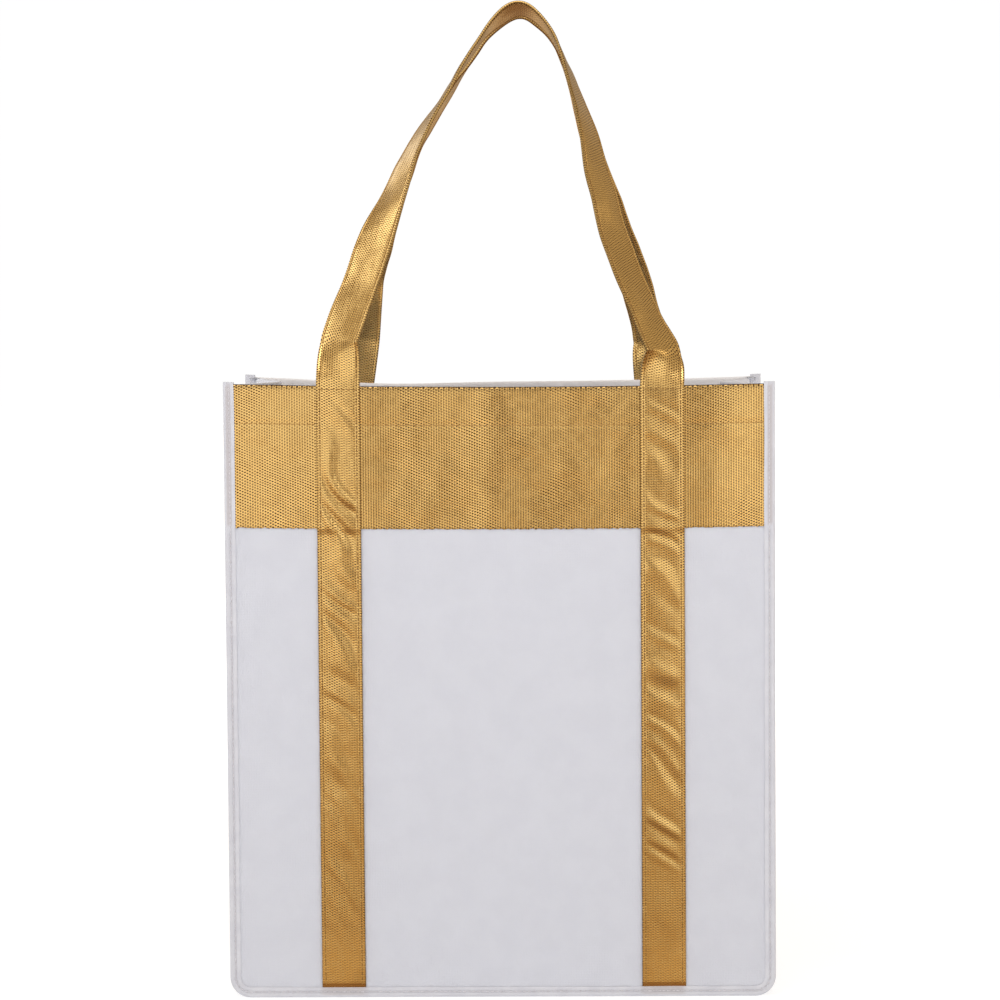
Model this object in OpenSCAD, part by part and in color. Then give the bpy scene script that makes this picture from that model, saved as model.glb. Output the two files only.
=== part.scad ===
// Reusable gift tote: white cloth body, gold rim bands and two gold strap handles.
// The front faces -Y, +Z is up and the origin is the centre of the footprint on the floor.

/* [Bag] */
// Overall width across the bound side seams
bag_w = 318; // [280:1:360]
// Height from the floor to the rim
bag_h = 356; // [330:1:420]
// Depth from the front cloth face to the back cloth face
bag_d = 140; // [120:1:170]
// Width of the bound seam that stands out at the sides
side_flange = 6.3; // [6:0.1:9]
// Height of the bound seam that stands down at the bottom
bottom_flange = 6; // [6:0.1:9]
// Outside radius of the two bottom corners
corner_r = 12; // [9:1:16]

/* [Cloth] */
// Thickness of the white panel cloth
cloth_t = 1; // [0.8:0.1:1.2]
// Thickness of the gold band cloth
band_t = 0.5; // [0.4:0.1:0.8]
// Thickness of the binding tape
tape_t = 0.5; // [0.4:0.1:0.8]
// Height of the gold band below the rim
band_h = 82; // [60:1:110]
// Height of the hem folded in at the rim
hem_h = 22; // [15:1:30]
// How far the binding ends stand above the rim
tape_rise = 2; // [1:0.5:3]

/* [Gussets] */
// How far the side crease is tucked in at the rim
tuck_in = 20; // [8:1:28]
// Height at which the side crease starts
tuck_start = 205; // [200:1:260]

/* [Straps] */
// Width of the strap
strap_w = 25.4; // [20:0.2:30]
// Thickness of the folded and sewn strap
strap_t = 1.6; // [1.2:0.1:2]
// Distance between the two strap centres on one side of the bag
strap_pitch = 186.4; // [170:0.2:200]
// Sideways offset of both strap centres
strap_shift = 0.8; // [-2:0.1:2]
// Rise of the handle centre line above the rim
handle_rise = 220; // [190:1:240]
// Distance of each handle's top from the middle plane of the bag
top_y = 14; // [13.7:0.1:20]

/* [Base board] */
// Thickness of the loose board on the floor of the bag
board_t = 1.5; // [1:0.1:2.5]
// Gap between the board and the cloth round its edge
board_gap = 4.5; // [3:0.5:8]

/* [Thread] */
// Width of a row of stitches
thread_w = 0.6; // [0.4:0.1:0.8]
// How far a row of stitches stands out of the cloth
thread_t = 0.3; // [0.2:0.1:0.4]
// Distance from a strap's edge to its row of stitches
edge_row = 2; // [1.5:0.1:3]

/* [Hidden] */
$fn = 64;

// Gap between pieces that move against each other
free_gap = 0.3;
// Gap that keeps a row of stitches clear of a twisted or tucked face
thread_gap = 0.3;

// Faces across the depth of the front side, from the cloth face outwards and inwards
face_y = -bag_d / 2;
band_y = face_y - band_t;
tape_y = band_y - tape_t;
strap_y = band_y - strap_t;
gusset_y = face_y + cloth_t;
seam_back_y = gusset_y + cloth_t;

// Half widths
seam_x = bag_w / 2 - side_flange;
cloth_x = bag_w / 2 - tape_t;
foot_y = strap_y + strap_t / 2;
strap_xs = [strap_shift - strap_pitch / 2, strap_shift + strap_pitch / 2];

// Heights
band_z = bag_h - band_h;
hem_z = bag_h - hem_h;
floor_z = bottom_flange + cloth_t;
rim_row_z = bag_h - 1.7;
binding_row = 2.9;

// The route of each handle from its left foot to its right foot. Each point is the sideways place, the height
// above the rim and the twist of the strap, where 0 faces out of the bag and 90 faces up.
// The first and last points are the creases above the rim.
front_route = [
    [-92.5, 27, 32], [-81, 58, 36], [-70, 89, 43], [-59.5, 115, 64], [-49, 140, 77], [-35, 163, 85],
    [-21, 186, 91], [-6, 207, 98], [12, 219, 104], [28, 208, 98], [38.5, 188, 91], [46.5, 165, 82],
    [53, 142, 71], [58.5, 118, 60], [65, 92, 52], [74, 65, 52], [84, 42, 52], [94.5, 20, 45]
];
back_route = [
    [-89, 26, 12], [-84, 58, 38], [-74.5, 89, 47], [-64, 115, 65], [-52, 140, 78], [-37, 163, 85],
    [-21, 186, 91], [-6, 206, 98], [12, 218, 103], [28, 207, 98], [38.5, 187, 91], [46.5, 165, 80],
    [54, 142, 68], [61, 118, 56], [69, 92, 46], [79, 65, 43], [86, 42, 44], [91.5, 22, 30]
];
route_pitch = 186.4;
route_rise = 219;
route_steps = 4;
foot_steps = 6;

function unit(v) = v / norm(v);
function mix(a, b, u) = a + (b - a) * u;
function ease(u) = u * u * (3 - 2 * u);

// A point on the curve through b and c, with a before them and d after them
function on_curve(a, b, c, d, u) =
    (2 * b + (c - a) * u + (2 * a - 5 * b + 4 * c - d) * u * u + (3 * b - a - 3 * c + d) * u * u * u) / 2;

function smooth_route(r) = [
    for (i = [0:len(r) - 2]) for (j = [0:route_steps - 1])
        on_curve(r[max(i - 1, 0)], r[i], r[i + 1], r[min(i + 2, len(r) - 1)], j / route_steps),
    r[len(r) - 1]
];

// Depth of a point on the route: a crease leans in by half of what its twist pushes the strap's edge out,
// and the handle leans from there to its top
function lean_y(p, crease) =
    mix(
        foot_y + strap_w / 4 * sin(crease[2]), -top_y,
        max(0, (p[1] - crease[1]) / (route_rise - crease[1]))
    );

function in_space(p, crease) = [
    p[0] * strap_pitch / route_pitch + strap_shift,
    lean_y(p, crease),
    bag_h + p[1] * handle_rise / route_rise
];

// The values of an arch, led up to in even steps from a value at its left foot and down to one at its right foot
function with_feet(left, arch, right) =
    let (n = foot_steps, last = arch[len(arch) - 1])
    concat(
        [for (j = [0:n - 1]) mix(left, arch[0], j / n)],
        arch,
        [for (j = [1:n]) mix(last, right, j / n)]
    );

// Centres of the cross sections, from the left foot to the right foot
function centres(r) =
    let (
        top = max([for (p = r) p[1]]),
        top_x = [for (p = r) if (p[1] == top) p[0]][0],
        arch = [for (p = smooth_route(r)) in_space(p, p[0] < top_x ? r[0] : r[len(r) - 1])],
        foot_z = bag_h + free_gap
    )
    with_feet([strap_xs[0], foot_y, foot_z], arch, [strap_xs[1], foot_y, foot_z]);

// Twist at each centre
function twists(r) = with_feet(0, [for (p = smooth_route(r)) p[2]], 0);

// Each frame holds the centre, the direction across the strap and the outward direction
function frames(r) =
    let (
        c = centres(r),
        a = twists(r),
        last = len(c) - 1,
        step = [for (i = [0:last - 1]) unit(c[i + 1] - c[i])]
    )
    [
        for (i = [0:last])
            let (
                along = i == 0 ? [0, 0, 1] : i == last ? [0, 0, -1] : unit(step[i - 1] + step[i]),
                out0 = unit([0, -1, 0] + along[1] * along),
                across0 = cross(along, out0)
            )
            [c[i], cos(a[i]) * across0 + sin(a[i]) * out0, cos(a[i]) * out0 - sin(a[i]) * across0]
    ];

function section(f, w0, w1, t0, t1) = [
    f[0] + w1 * f[1] + t1 * f[2], f[0] + w0 * f[1] + t1 * f[2],
    f[0] + w0 * f[1] + t0 * f[2], f[0] + w1 * f[1] + t0 * f[2]
];

// A bar that follows the frames, from w0 to w1 across the strap and from t0 to t1 outwards
module follow(fs, w0, w1, t0, t1) {
    last = len(fs) - 1;
    points = [for (f = fs) each section(f, w0, w1, t0, t1)];
    sides = [
        for (i = [0:last - 1]) for (j = [0:3])
            let (a = 4 * i + j, b = 4 * i + (j + 1) % 4)
            each [[a, b, b + 4], [a, b + 4, a + 4]]
    ];
    ends = [[0, 2, 1], [0, 3, 2], [4 * last, 4 * last + 1, 4 * last + 2], [4 * last, 4 * last + 2, 4 * last + 3]];
    polyhedron(points = points, faces = concat(sides, ends));
}

// Stands a flat outline up in the XZ plane, from y0 to y0 + t
module upright(y0, t) {
    translate([0, y0 + t, 0]) rotate([90, 0, 0]) linear_extrude(height = t) children();
}

// The outline of a panel whose bottom corners are round
module outline(half_w, z0, z1, r) {
    translate([-half_w, z0 + r]) square([2 * half_w, z1 - z0 - r]);
    translate([-half_w + r, z0]) square([2 * (half_w - r), r]);
    for (s = [-1, 1]) translate([s * (half_w - r), z0 + r]) circle(r = r);
}

module cloth_outline() {
    outline(cloth_x, tape_t, bag_h, corner_r - tape_t);
}

module tape_outline(inner_x) {
    difference() {
        outline(bag_w / 2, 0, bag_h + tape_rise, corner_r);
        translate([-inner_x, bottom_flange]) square([2 * inner_x, bag_h]);
    }
}

// ---- Panels ----

module panel() {
    upright(face_y, cloth_t) cloth_outline();
    hem_x = seam_x - 2 * cloth_t - 1;
    translate([-hem_x, gusset_y, hem_z]) cube([2 * hem_x, cloth_t, hem_h]);
}

module front_panel() {
    color("ghostwhite") panel();
}

module back_panel() {
    color("ghostwhite") mirror([0, 1, 0]) panel();
}

module band() {
    translate([-cloth_x, band_y, band_z]) cube([2 * cloth_x, band_t, band_h]);
}

module front_band() {
    color("goldenrod") band();
}

module back_band() {
    color("goldenrod") mirror([0, 1, 0]) band();
}

// ---- Gussets and bottom ----

wall_half = -seam_back_y;
wall_columns = 20;
wall_rows = 8;
crease_soft = 0.15;

// How far the side wall is tucked in at a place across the depth and at a height
function tuck(y, z) =
    let (
        u = y / wall_half,
        k = crease_soft,
        fold = (sqrt(1 + k * k) - sqrt(u * u + k * k)) / (sqrt(1 + k * k) - k),
        grow = ease(min(1, max(0, (z - tuck_start) / (bag_h - tuck_start))))
    )
    tuck_in * fold * grow;

// A piece of the tucked wall on the +X side, between two offsets from its outer face
module wall_strip(z0, z1, rows, inner, outer, y_end) {
    cols = wall_columns;
    ring = 2 * (cols + 1);
    ys = [for (c = [0:cols]) mix(-y_end, y_end, c / cols)];
    points = [
        for (r = [0:rows])
            let (z = mix(z0, z1, r / rows))
            each concat(
                [for (y = ys) [seam_x + outer - tuck(y, z), y, z]],
                [for (c = [cols:-1:0]) [seam_x + inner - tuck(ys[c], z), ys[c], z]]
            )
    ];
    sides = [
        for (r = [0:rows - 1]) for (j = [0:ring - 1])
            let (a = ring * r + j, b = ring * r + (j + 1) % ring)
            each [[a, b + ring, b], [a, a + ring, b + ring]]
    ];
    caps = [
        for (c = [0:cols - 1]) each [
            [c, c + 1, ring - 2 - c], [c, ring - 2 - c, ring - 1 - c],
            [rows * ring + c, rows * ring + ring - 2 - c, rows * ring + c + 1],
            [rows * ring + c, rows * ring + ring - 1 - c, rows * ring + ring - 2 - c]
        ]
    ];
    polyhedron(points = points, faces = concat(sides, caps));
}

module gusset() {
    for (side = [0, 1]) mirror([0, side, 0])
        upright(gusset_y, cloth_t) intersection() {
            cloth_outline();
            translate([seam_x - cloth_t, bottom_flange]) square([bag_w, bag_h]);
        }
    translate([seam_x - cloth_t, -wall_half, bottom_flange])
        cube([cloth_t, 2 * wall_half, tuck_start - bottom_flange]);
    wall_strip(tuck_start, bag_h, wall_rows, -cloth_t, 0, wall_half);
    wall_strip(hem_z, bag_h, 2, -2 * cloth_t, -cloth_t, wall_half - 2 * cloth_t);
}

module left_gusset() {
    color("white") mirror([1, 0, 0]) gusset();
}

module right_gusset() {
    color("white") gusset();
}

module bottom_panel() {
    half_x = seam_x - cloth_t;
    color("white") {
        for (side = [0, 1]) mirror([0, side, 0])
            upright(gusset_y, cloth_t) intersection() {
                cloth_outline();
                translate([-bag_w / 2, 0]) square([bag_w, bottom_flange]);
            }
        translate([-half_x, gusset_y, bottom_flange]) cube([2 * half_x, -2 * gusset_y, cloth_t]);
    }
}

// ---- Binding tape ----

module binding() {
    difference() {
        upright(tape_y, seam_back_y - tape_y) tape_outline(seam_x - cloth_t);
        upright(face_y, seam_back_y - face_y) cloth_outline();
        band();
    }
    upright(seam_back_y, tape_t) tape_outline(seam_x);
}

module front_binding() {
    color("gainsboro") binding();
}

module back_binding() {
    color("gainsboro") mirror([0, 1, 0]) binding();
}

// ---- Straps sewn to the panels ----

module sewn_strap(i) {
    difference() {
        translate([strap_xs[i] - strap_w / 2, strap_y, bottom_flange])
            cube([strap_w, face_y - strap_y, bag_h - bottom_flange]);
        band();
    }
}

module front_left_strap() {
    color("gold") sewn_strap(0);
}

module front_right_strap() {
    color("gold") sewn_strap(1);
}

module back_left_strap() {
    color("gold") mirror([0, 1, 0]) sewn_strap(0);
}

module back_right_strap() {
    color("gold") mirror([0, 1, 0]) sewn_strap(1);
}

// ---- Handles above the rim ----

module loop(route) {
    follow(frames(route), -strap_w / 2, strap_w / 2, -strap_t / 2, strap_t / 2);
}

module loop_thread(route) {
    all_frames = frames(route);
    fs = [for (i = [1:len(all_frames) - 2]) all_frames[i]];
    for (s = [-1, 1]) {
        middle = s * (strap_w / 2 - edge_row);
        follow(
            fs, middle - thread_w / 2, middle + thread_w / 2,
            strap_t / 2 + thread_gap, strap_t / 2 + thread_gap + thread_t
        );
    }
}

module front_handle() {
    color("gold") loop(front_route);
}

module back_handle() {
    color("gold") mirror([0, 1, 0]) loop(back_route);
}

module front_handle_thread() {
    color("peru") loop_thread(front_route);
}

module back_handle_thread() {
    color("peru") mirror([0, 1, 0]) loop_thread(back_route);
}

// ---- Loose base board ----

module base_board() {
    half_x = seam_x - cloth_t - board_gap;
    half_y = -gusset_y - board_gap / 2;
    round_r = 5;
    color("lightgray") translate([0, 0, floor_z + free_gap]) linear_extrude(height = board_t) {
        square([2 * half_x, 2 * (half_y - round_r)], center = true);
        square([2 * (half_x - round_r), 2 * half_y], center = true);
        for (sx = [-1, 1]) for (sy = [-1, 1])
            translate([sx * (half_x - round_r), sy * (half_y - round_r)]) circle(r = round_r);
    }
}

// ---- Sewing thread ----

// A row of stitches across the front, between two sideways places
module level_row(x0, x1, z, y) {
    translate([x0, y - thread_t, z - thread_w / 2]) cube([x1 - x0, thread_t, thread_w]);
}

module hem_thread() {
    inner = strap_w / 2;
    level_row(-seam_x + 1, strap_xs[0] - inner, hem_z, band_y);
    level_row(strap_xs[0] + inner, strap_xs[1] - inner, hem_z, band_y);
    level_row(strap_xs[1] + inner, seam_x - 1, hem_z, band_y);
}

module front_hem_thread() {
    color("peru") hem_thread();
}

module back_hem_thread() {
    color("peru") mirror([0, 1, 0]) hem_thread();
}

module gusset_hem_thread() {
    wall_strip(
        hem_z - thread_w / 2, hem_z + thread_w / 2, 1,
        thread_gap, thread_gap + thread_t, wall_half - 2
    );
}

module left_gusset_hem_thread() {
    color("whitesmoke") mirror([1, 0, 0]) gusset_hem_thread();
}

module right_gusset_hem_thread() {
    color("whitesmoke") gusset_hem_thread();
}

module strap_thread(i) {
    row_x = strap_w / 2 - edge_row;
    for (s = [-1, 1])
        translate([strap_xs[i] + s * row_x - thread_w / 2, strap_y - thread_t, bottom_flange + 1])
            cube([thread_w, thread_t, rim_row_z - bottom_flange - 1]);
    level_row(strap_xs[i] - row_x, strap_xs[i] + row_x, rim_row_z, strap_y);
}

module front_left_strap_thread() {
    color("peru") strap_thread(0);
}

module front_right_strap_thread() {
    color("peru") strap_thread(1);
}

module back_left_strap_thread() {
    color("peru") mirror([0, 1, 0]) strap_thread(0);
}

module back_right_strap_thread() {
    color("peru") mirror([0, 1, 0]) strap_thread(1);
}

module binding_thread() {
    row_x = seam_x + binding_row;
    row_z = bottom_flange - binding_row;
    for (s = [-1, 1])
        translate([s * row_x - thread_w / 2, tape_y - thread_t, row_z])
            cube([thread_w, thread_t, bag_h - row_z]);
    level_row(-row_x, row_x, row_z, tape_y);
}

module front_binding_thread() {
    color("whitesmoke") binding_thread();
}

module back_binding_thread() {
    color("whitesmoke") mirror([0, 1, 0]) binding_thread();
}

front_panel();
back_panel();
left_gusset();
right_gusset();
bottom_panel();
front_band();
back_band();
front_binding();
back_binding();
front_left_strap();
front_right_strap();
back_left_strap();
back_right_strap();
front_handle();
back_handle();
base_board();
front_hem_thread();
back_hem_thread();
left_gusset_hem_thread();
right_gusset_hem_thread();
front_left_strap_thread();
front_right_strap_thread();
back_left_strap_thread();
back_right_strap_thread();
front_handle_thread();
back_handle_thread();
front_binding_thread();
back_binding_thread();
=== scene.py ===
import math

import bpy
import numpy as np
from mathutils import Matrix, Vector


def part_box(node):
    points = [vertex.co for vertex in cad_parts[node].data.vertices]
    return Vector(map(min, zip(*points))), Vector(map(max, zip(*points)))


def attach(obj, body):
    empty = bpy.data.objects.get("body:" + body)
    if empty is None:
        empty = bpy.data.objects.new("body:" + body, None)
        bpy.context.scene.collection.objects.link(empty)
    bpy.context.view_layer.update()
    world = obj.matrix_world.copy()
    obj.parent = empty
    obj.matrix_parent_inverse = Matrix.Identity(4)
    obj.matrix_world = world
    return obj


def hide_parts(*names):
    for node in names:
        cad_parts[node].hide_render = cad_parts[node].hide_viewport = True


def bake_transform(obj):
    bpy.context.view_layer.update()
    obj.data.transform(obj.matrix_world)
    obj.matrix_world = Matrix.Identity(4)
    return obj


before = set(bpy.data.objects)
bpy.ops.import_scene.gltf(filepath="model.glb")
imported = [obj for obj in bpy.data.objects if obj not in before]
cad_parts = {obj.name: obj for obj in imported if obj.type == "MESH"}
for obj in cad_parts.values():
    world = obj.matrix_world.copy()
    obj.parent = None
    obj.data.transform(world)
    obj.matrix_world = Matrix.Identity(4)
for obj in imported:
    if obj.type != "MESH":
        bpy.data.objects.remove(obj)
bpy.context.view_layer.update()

MM = 0.001


# ---- Sizes: the frame's boxes, then what the cloth and the sewing add ----

def box(node):
    """The lowest and highest corner of a CAD node."""
    low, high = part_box(node)
    return np.array(low), np.array(high)


panel_low, panel_high = box("front_panel")
tape_low, tape_high = box("front_binding")
left_low, left_high = box("front_left_strap")
right_low, right_high = box("front_right_strap")
hem_low, hem_high = box("front_hem_thread")
band_low = box("front_band")[0]
floor_high = box("bottom_panel")[1]

# Heights, and places across the bag
RIM = panel_high[2]
TAPE_TOP = tape_high[2]
BAND_Z = band_low[2]
HEM_Z = (hem_low[2] + hem_high[2]) / 2
STRAP_LOW = left_low[2]
HALF_WIDTH = tape_high[0]
CLOTH_X = panel_high[0]
LEFT_X = (left_low[0] + left_high[0]) / 2
RIGHT_X = (right_low[0] + right_high[0]) / 2

# Distances in front of the bag's middle, the layers between them, and the strap's width
FACE = -panel_low[1]
BAND_FACE = -band_low[1]
TAPE_FACE = -tape_low[1]
TAPE_BACK = -tape_high[1]
STRAP_FACE = -left_low[1]
BAND_T = BAND_FACE - FACE
TAPE_T = TAPE_FACE - BAND_FACE
STRAP_T = STRAP_FACE - BAND_FACE
STRAP_W = left_high[0] - left_low[0]

# The bag's pattern: first the sizes that the CAD has too but its boxes don't show
CLOTH_T = 1.0 * MM
CORNER_R = 12 * MM
SIDE_FLANGE = 6.3 * MM
TUCK_IN = 20 * MM
TUCK_START = 205 * MM
CREASE_SOFT = 0.15
HANDLE_RISE = 220 * MM
TOP_Y = 14 * MM
SEAM_X = HALF_WIDTH - SIDE_FLANGE
BOTTOM_FLANGE = floor_high[2] - CLOTH_T
WALL_HALF = FACE - 2 * CLOTH_T

# Rows of stitches: in from a strap's edge, in from the bag's edge, and across a strap at the rim
EDGE_ROW = 2 * MM
BINDING_ROW = 2.9 * MM
RIM_ROW_Z = RIM - 1.7 * MM


# ---- Camera, from the photograph's viewing angle ----

CAMERA_AT = (0.0358, -2.0074, 0.4213)
# Turned left, tilted down and rolled, in degrees
CAMERA_TURNS = (1.046, 3.87, -0.423)
# Focal length in mm on a sensor of the given width
CAMERA_LENS = 121.14
CAMERA_SENSOR = 36


def make_camera():
    yaw, pitch, roll = (math.radians(a) for a in CAMERA_TURNS)
    forward = Vector((-math.sin(yaw) * math.cos(pitch), math.cos(yaw) * math.cos(pitch), -math.sin(pitch)))
    right = Vector((math.cos(yaw), math.sin(yaw), 0))
    up = right.cross(forward)
    x_axis = right * math.cos(roll) + up * math.sin(roll)
    y_axis = up * math.cos(roll) - right * math.sin(roll)
    data = bpy.data.cameras.new("camera")
    data.lens = CAMERA_LENS
    data.sensor_width = CAMERA_SENSOR
    camera = bpy.data.objects.new("camera", data)
    bpy.context.scene.collection.objects.link(camera)
    turn = Matrix((x_axis, y_axis, -forward)).transposed()
    camera.matrix_world = Matrix.Translation(Vector(CAMERA_AT)) @ turn.to_4x4()
    bpy.context.scene.camera = camera


make_camera()


# ---- Node materials ----

class Nodes:
    """Short calls that build one node material round a Principled shader."""

    def __init__(self, name, **sockets):
        self.material = bpy.data.materials.new(name)
        self.material.use_nodes = True
        self.tree = self.material.node_tree
        self.tree.nodes.clear()
        output = self.add("ShaderNodeOutputMaterial")
        self.shader = self.add("ShaderNodeBsdfPrincipled")
        self.tree.links.new(self.shader.outputs[0], output.inputs[0])
        for socket, value in sockets.items():
            self.shader.inputs[socket.replace("_", " ")].default_value = value

    def add(self, kind, **settings):
        made = self.tree.nodes.new(kind)
        for key, value in settings.items():
            setattr(made, key, value)
        return made

    def put(self, value, socket):
        """Links an output to a socket, or sets the socket to a constant."""
        if isinstance(value, bpy.types.NodeSocket):
            self.tree.links.new(value, socket)
        else:
            socket.default_value = value

    def math(self, operation, *values):
        made = self.add("ShaderNodeMath", operation=operation)
        for value, socket in zip(values, made.inputs):
            self.put(value, socket)
        return made.outputs[0]

    def span(self, value, low, high, to_low=0.0, to_high=1.0):
        """A value taken smoothly from one range to another."""
        made = self.add("ShaderNodeMapRange", interpolation_type="SMOOTHSTEP")
        for part, socket in zip((value, low, high, to_low, to_high), made.inputs):
            self.put(part, socket)
        return made.outputs[0]

    def mix(self, share, a, b):
        made = self.add("ShaderNodeMix", data_type="RGBA")
        for part, socket in zip((share, a, b), (made.inputs[0], made.inputs[6], made.inputs[7])):
            self.put(part, socket)
        return made.outputs[2]

    def flat(self):
        """Where a point lies on the flat cloth, in metres: along the weft and along the warp."""
        uv = self.add("ShaderNodeUVMap", uv_map="flat")
        parts = self.add("ShaderNodeSeparateXYZ")
        self.put(uv.outputs[0], parts.inputs[0])
        return uv.outputs[0], parts.outputs[0], parts.outputs[1]

    def noise(self, vector, wave, detail=2.0, stretch=(1, 1, 1)):
        scaled = self.add("ShaderNodeMapping")
        self.put(vector, scaled.inputs["Vector"])
        scaled.inputs["Scale"].default_value = [s / wave for s in stretch]
        made = self.add("ShaderNodeTexNoise", noise_dimensions="2D")
        made.inputs["Scale"].default_value = 1.0
        made.inputs["Detail"].default_value = detail
        self.put(scaled.outputs[0], made.inputs["Vector"])
        return made.outputs[0]

    def wave(self, place, pitch, phase=0.0):
        return self.math("SINE", self.math("MULTIPLY_ADD", place, 2 * math.pi / pitch, phase))

    def attribute(self, name):
        return self.add("ShaderNodeAttribute", attribute_name=name).outputs["Fac"]

    def bump(self, height, depth, under=None):
        made = self.add("ShaderNodeBump")
        made.inputs["Distance"].default_value = depth
        self.put(height, made.inputs["Height"])
        if under is not None:
            self.put(under, made.inputs["Normal"])
        return made.outputs[0]

    def colour(self, value):
        self.put(value, self.shader.inputs["Base Color"])

    def roughness(self, value):
        self.put(value, self.shader.inputs["Roughness"])

    def normal(self, value):
        self.put(value, self.shader.inputs["Normal"])


GOLD = (0.87, 0.575, 0.210, 1)
# The colour of the painted shade in the gold's pits and grooves and along its edges
GOLD_PAINTED_SHADE = (0.062, 0.027, 0.005, 1)


def gold_cloth(name, columns, dots, across, relief):
    """Gold foil on an embossed cloth: staggered pits between fine grooves, pressed flatter in patches. The
    pits, the grooves and the cloth's edges are darkened in the colour as painted shade.

    Columns and dots are the pitch of the pits sideways and lengthways, and relief is the embossing's depth.
    The grooves run lengthways, or across the cloth.
    """
    n = Nodes(name, Metallic=1.0, Coat_Weight=0.15, Coat_Roughness=0.3)
    uv, u, v = n.flat()
    lean = n.math("MULTIPLY_ADD", n.noise(uv, 26 * MM, 1.0), 2.5 * MM, n.math("MULTIPLY_ADD", u, 0.16, v))
    rows = n.math("MULTIPLY", n.wave(u, 2 * columns), n.wave(lean, dots))
    pits = n.span(rows, 0.0, 0.75)
    grooves = n.math("MULTIPLY_ADD", n.wave(v if across else u, columns, -math.pi / 2), 0.5, 0.5)
    patch = n.span(n.noise(uv, 34 * MM, 2.0, (1, 0.4, 1)), 0.36, 0.60, 0.38, 1.0)
    pressed = n.span(patch, 0.38, 1.0, 1.0, 0.45)
    grain = n.noise(uv, 0.8 * MM, 1.0)
    embossed = n.math("SUBTRACT", 1.0, n.attribute("smooth"))
    depth = n.math("MULTIPLY", n.math("MULTIPLY", pits, patch), embossed)
    height = n.math("MULTIPLY_ADD", depth, -1.0, n.math("MULTIPLY", grooves, -0.12))
    height = n.math("MULTIPLY_ADD", grain, 0.05, height)
    creases = n.bump(n.noise(uv, 16 * MM, 1.0), 0.25 * MM)
    n.normal(n.bump(height, relief, creases))
    # Painted shade in dashes along the cloth's edges, where the edge attribute is high
    edge_shade_dashes = n.math("MULTIPLY", n.attribute("edge"), n.span(n.wave(u, 2 * columns), -0.6, 0.4, 0.5, 1.0))
    groove_and_edge_shade = n.math("MULTIPLY_ADD", n.math("MULTIPLY", grooves, pressed), 0.36, edge_shade_dashes)
    # Painted shade: the colour goes darker in the pits and grooves and along the edges
    dark = n.math("MULTIPLY_ADD", depth, 0.92, groove_and_edge_shade)
    n.colour(n.mix(n.math("MINIMUM", dark, 1.0), GOLD, GOLD_PAINTED_SHADE))
    n.roughness(n.span(n.noise(uv, 5 * MM, 2.0), 0.3, 0.7, 0.20, 0.28))
    return n.material


def white_cloth():
    """White spunbond cloth: tiny pressed diamonds, fibres and faint clouds. The hem's inner layer gets
    painted light: it is mixed towards a lighter white, though it lies in shade inside the bag.
    """
    n = Nodes(
        "white_spunbond", Sheen_Weight=0.15, Sheen_Roughness=0.5, Subsurface_Weight=0.4,
        Subsurface_Radius=(1, 1, 1), Subsurface_Scale=1.5 * MM,
    )
    uv, u, v = n.flat()
    rising = n.wave(n.math("ADD", u, v), 1.9 * MM)
    falling = n.wave(n.math("SUBTRACT", u, v), 1.9 * MM)
    dots = n.span(n.math("MULTIPLY", rising, falling), 0.25, 0.8)
    fibres = n.noise(uv, 0.8 * MM, 3.0, (1, 0.25, 1))
    clouds = n.noise(uv, 16 * MM, 3.0)
    height = n.math("MULTIPLY_ADD", dots, -0.5, fibres)
    soft = n.bump(n.noise(uv, 30 * MM, 2.0), 0.5 * MM)
    n.normal(n.bump(height, 0.07 * MM, soft))
    tone = n.span(clouds, 0.3, 0.7)
    base = n.mix(tone, (0.572, 0.590, 0.662, 1), (0.588, 0.606, 0.676, 1))
    # Painted light: the hem's inner layer is mixed towards a lighter white, as it lies in shade inside the
    # bag
    base = n.mix(n.attribute("hem_painted_light"), base, (0.90, 0.90, 0.95, 1))
    shade = n.math("MULTIPLY_ADD", dots, 0.10, n.math("MULTIPLY", fibres, 0.10))
    n.colour(n.mix(shade, base, (0.55, 0.54, 0.60, 1)))
    n.roughness(n.span(clouds, 0.2, 0.8, 0.72, 0.86))
    return n.material


def tape_cloth():
    """White binding tape, thin enough for the gold under it to warm its colour."""
    n = Nodes("white_tape", Sheen_Weight=0.2, Sheen_Roughness=0.4)
    uv, u, v = n.flat()
    ribs = n.math("MULTIPLY", n.wave(u, 0.9 * MM), n.wave(v, 1.2 * MM))
    fibres = n.noise(uv, 0.7 * MM, 2.0, (1, 0.3, 1))
    n.normal(n.bump(n.math("MULTIPLY_ADD", ribs, 0.3, fibres), 0.06 * MM))
    clouds = n.noise(uv, 11 * MM, 3.0)
    base = n.mix(n.span(clouds, 0.3, 0.7), (0.55, 0.56, 0.63, 1), (0.60, 0.61, 0.67, 1))
    base = n.mix(n.math("MULTIPLY", n.attribute("warm"), 0.75), base, (0.42, 0.375, 0.385, 1))
    n.colour(n.mix(n.attribute("edge"), base, (0.52, 0.53, 0.58, 1)))
    n.roughness(n.span(clouds, 0.2, 0.8, 0.60, 0.74))
    return n.material


def thread(name, light, dark, metallic):
    """Twisted sewing thread: slanted plies along each stitch, with painted shade between the plies over a
    random tone.
    """
    n = Nodes(name, Metallic=metallic)
    uv, u, v = n.flat()
    plies = n.wave(n.math("MULTIPLY_ADD", u, 1.6, v), 0.5 * MM)
    n.normal(n.bump(plies, 0.05 * MM))
    # A random tone, plus painted shade between the twisted plies
    tone_and_ply_shade = n.math("MULTIPLY_ADD", n.noise(uv, 4 * MM, 2.0), 1.6, n.math("MULTIPLY", plies, 0.3))
    n.colour(n.mix(n.span(tone_and_ply_shade, 0.4, 1.3), dark, light))
    n.roughness(n.span(plies, -1.0, 1.0, 0.42, 0.6))
    return n.material


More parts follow.
